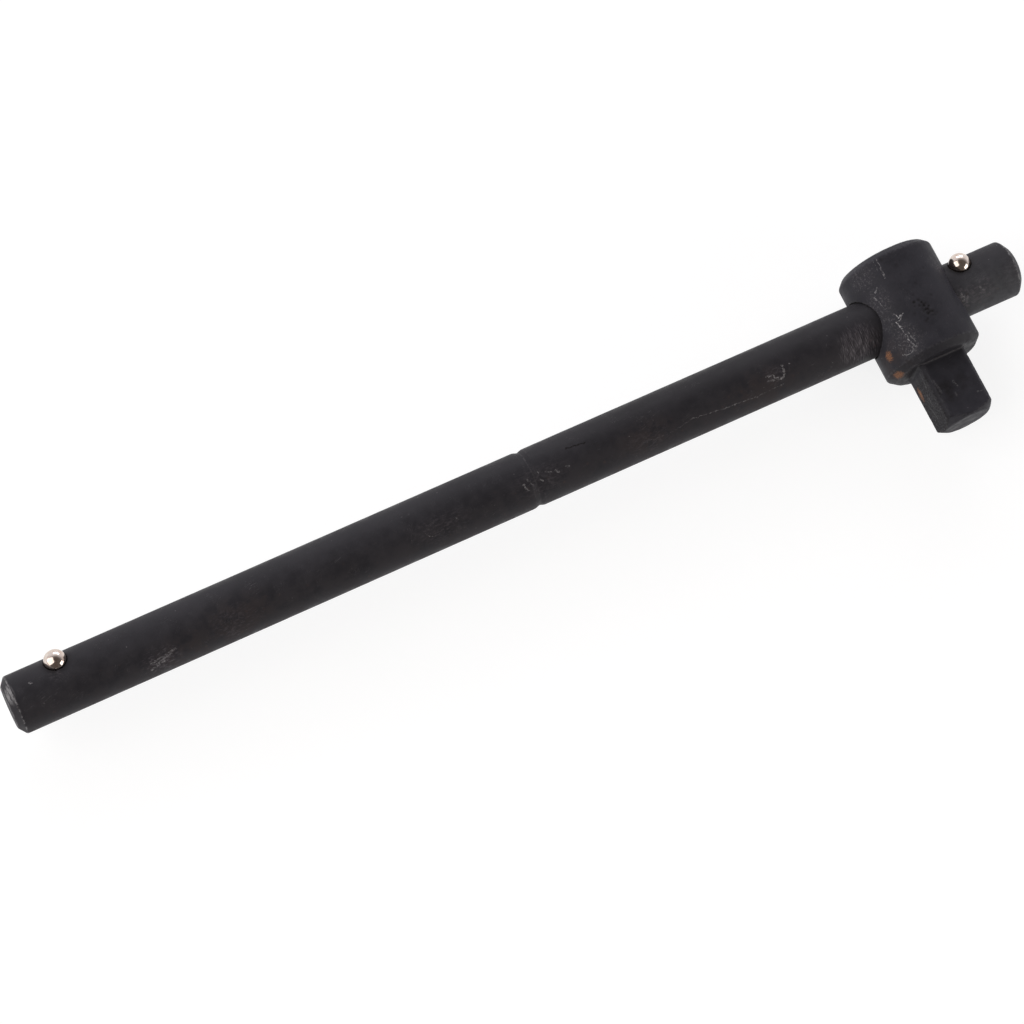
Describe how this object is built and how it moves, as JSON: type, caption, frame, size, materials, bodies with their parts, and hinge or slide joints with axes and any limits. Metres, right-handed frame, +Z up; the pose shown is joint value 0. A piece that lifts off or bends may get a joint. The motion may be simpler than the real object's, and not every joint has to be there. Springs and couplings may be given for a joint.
{
  "type": "sliding t-handle socket driver",
  "caption": "Sliding T-handle socket driver: a round steel bar runs through a drop-forged head with a square drive, held by sprung stop balls.",
  "frame": {"origin": "on the square drive's axis, in the plane of the shoulder that a socket seats against", "axes": "-Y along the square drive, out of its tip; X along the handle bar, with its long end towards -X in the rest pose; +Z up, with the tool lying on its side"},
  "size_m": [0.27, 0.0457, 0.0254],
  "materials": {
    "black_bar": "turned steel, matte black phosphate, worn along the edges",
    "black_head": "forged steel, matte black phosphate, scratched, a few rust spots",
    "ball_steel": "polished bearing steel",
    "spring_steel": "drawn spring wire, lightly oiled"
  },
  "bodies": {
    "bar": {"handle_bar": "black_bar", "left_stop_spring": "spring_steel", "right_stop_spring": "spring_steel"},
    "ring": {"detent_ring": "spring_steel"},
    "head": {"drive_head": "black_head", "drive_ball_spring": "spring_steel"},
    "drive_ball": {"drive_ball": "ball_steel"},
    "left_ball": {"left_stop_ball": "ball_steel"},
    "right_ball": {"right_stop_ball": "ball_steel"}
  },
  "joints": [
    {"name": "head_slide", "type": "slide", "parent": "bar", "child": "ring", "axis": [1, 0, 0], "range_m": [-0.211, 0]},
    {"name": "head_spin", "type": "hinge", "parent": "ring", "child": "head", "pos_m": [0, 0.015, 0], "axis": [1, 0, 0], "continuous": true},
    {"name": "drive_ball_press", "type": "slide", "parent": "head", "child": "drive_ball", "axis": [0, 0, -1], "range_m": [-0.00095, 0], "stiffness_N_per_m": 3000, "springref_m": 0.001, "deforming": ["drive_ball_spring"]},
    {"name": "left_ball_press", "type": "slide", "parent": "bar", "child": "left_ball", "axis": [0, 0.6225, 0.7826], "range_m": [-0.0027, 0], "stiffness_N_per_m": 3500, "springref_m": 0.001, "deforming": ["left_stop_spring"]},
    {"name": "right_ball_press", "type": "slide", "parent": "bar", "child": "right_ball", "axis": [0, 0.6225, 0.7826], "range_m": [-0.0027, 0], "stiffness_N_per_m": 3500, "springref_m": 0.001, "deforming": ["right_stop_spring"]}
  ]
}
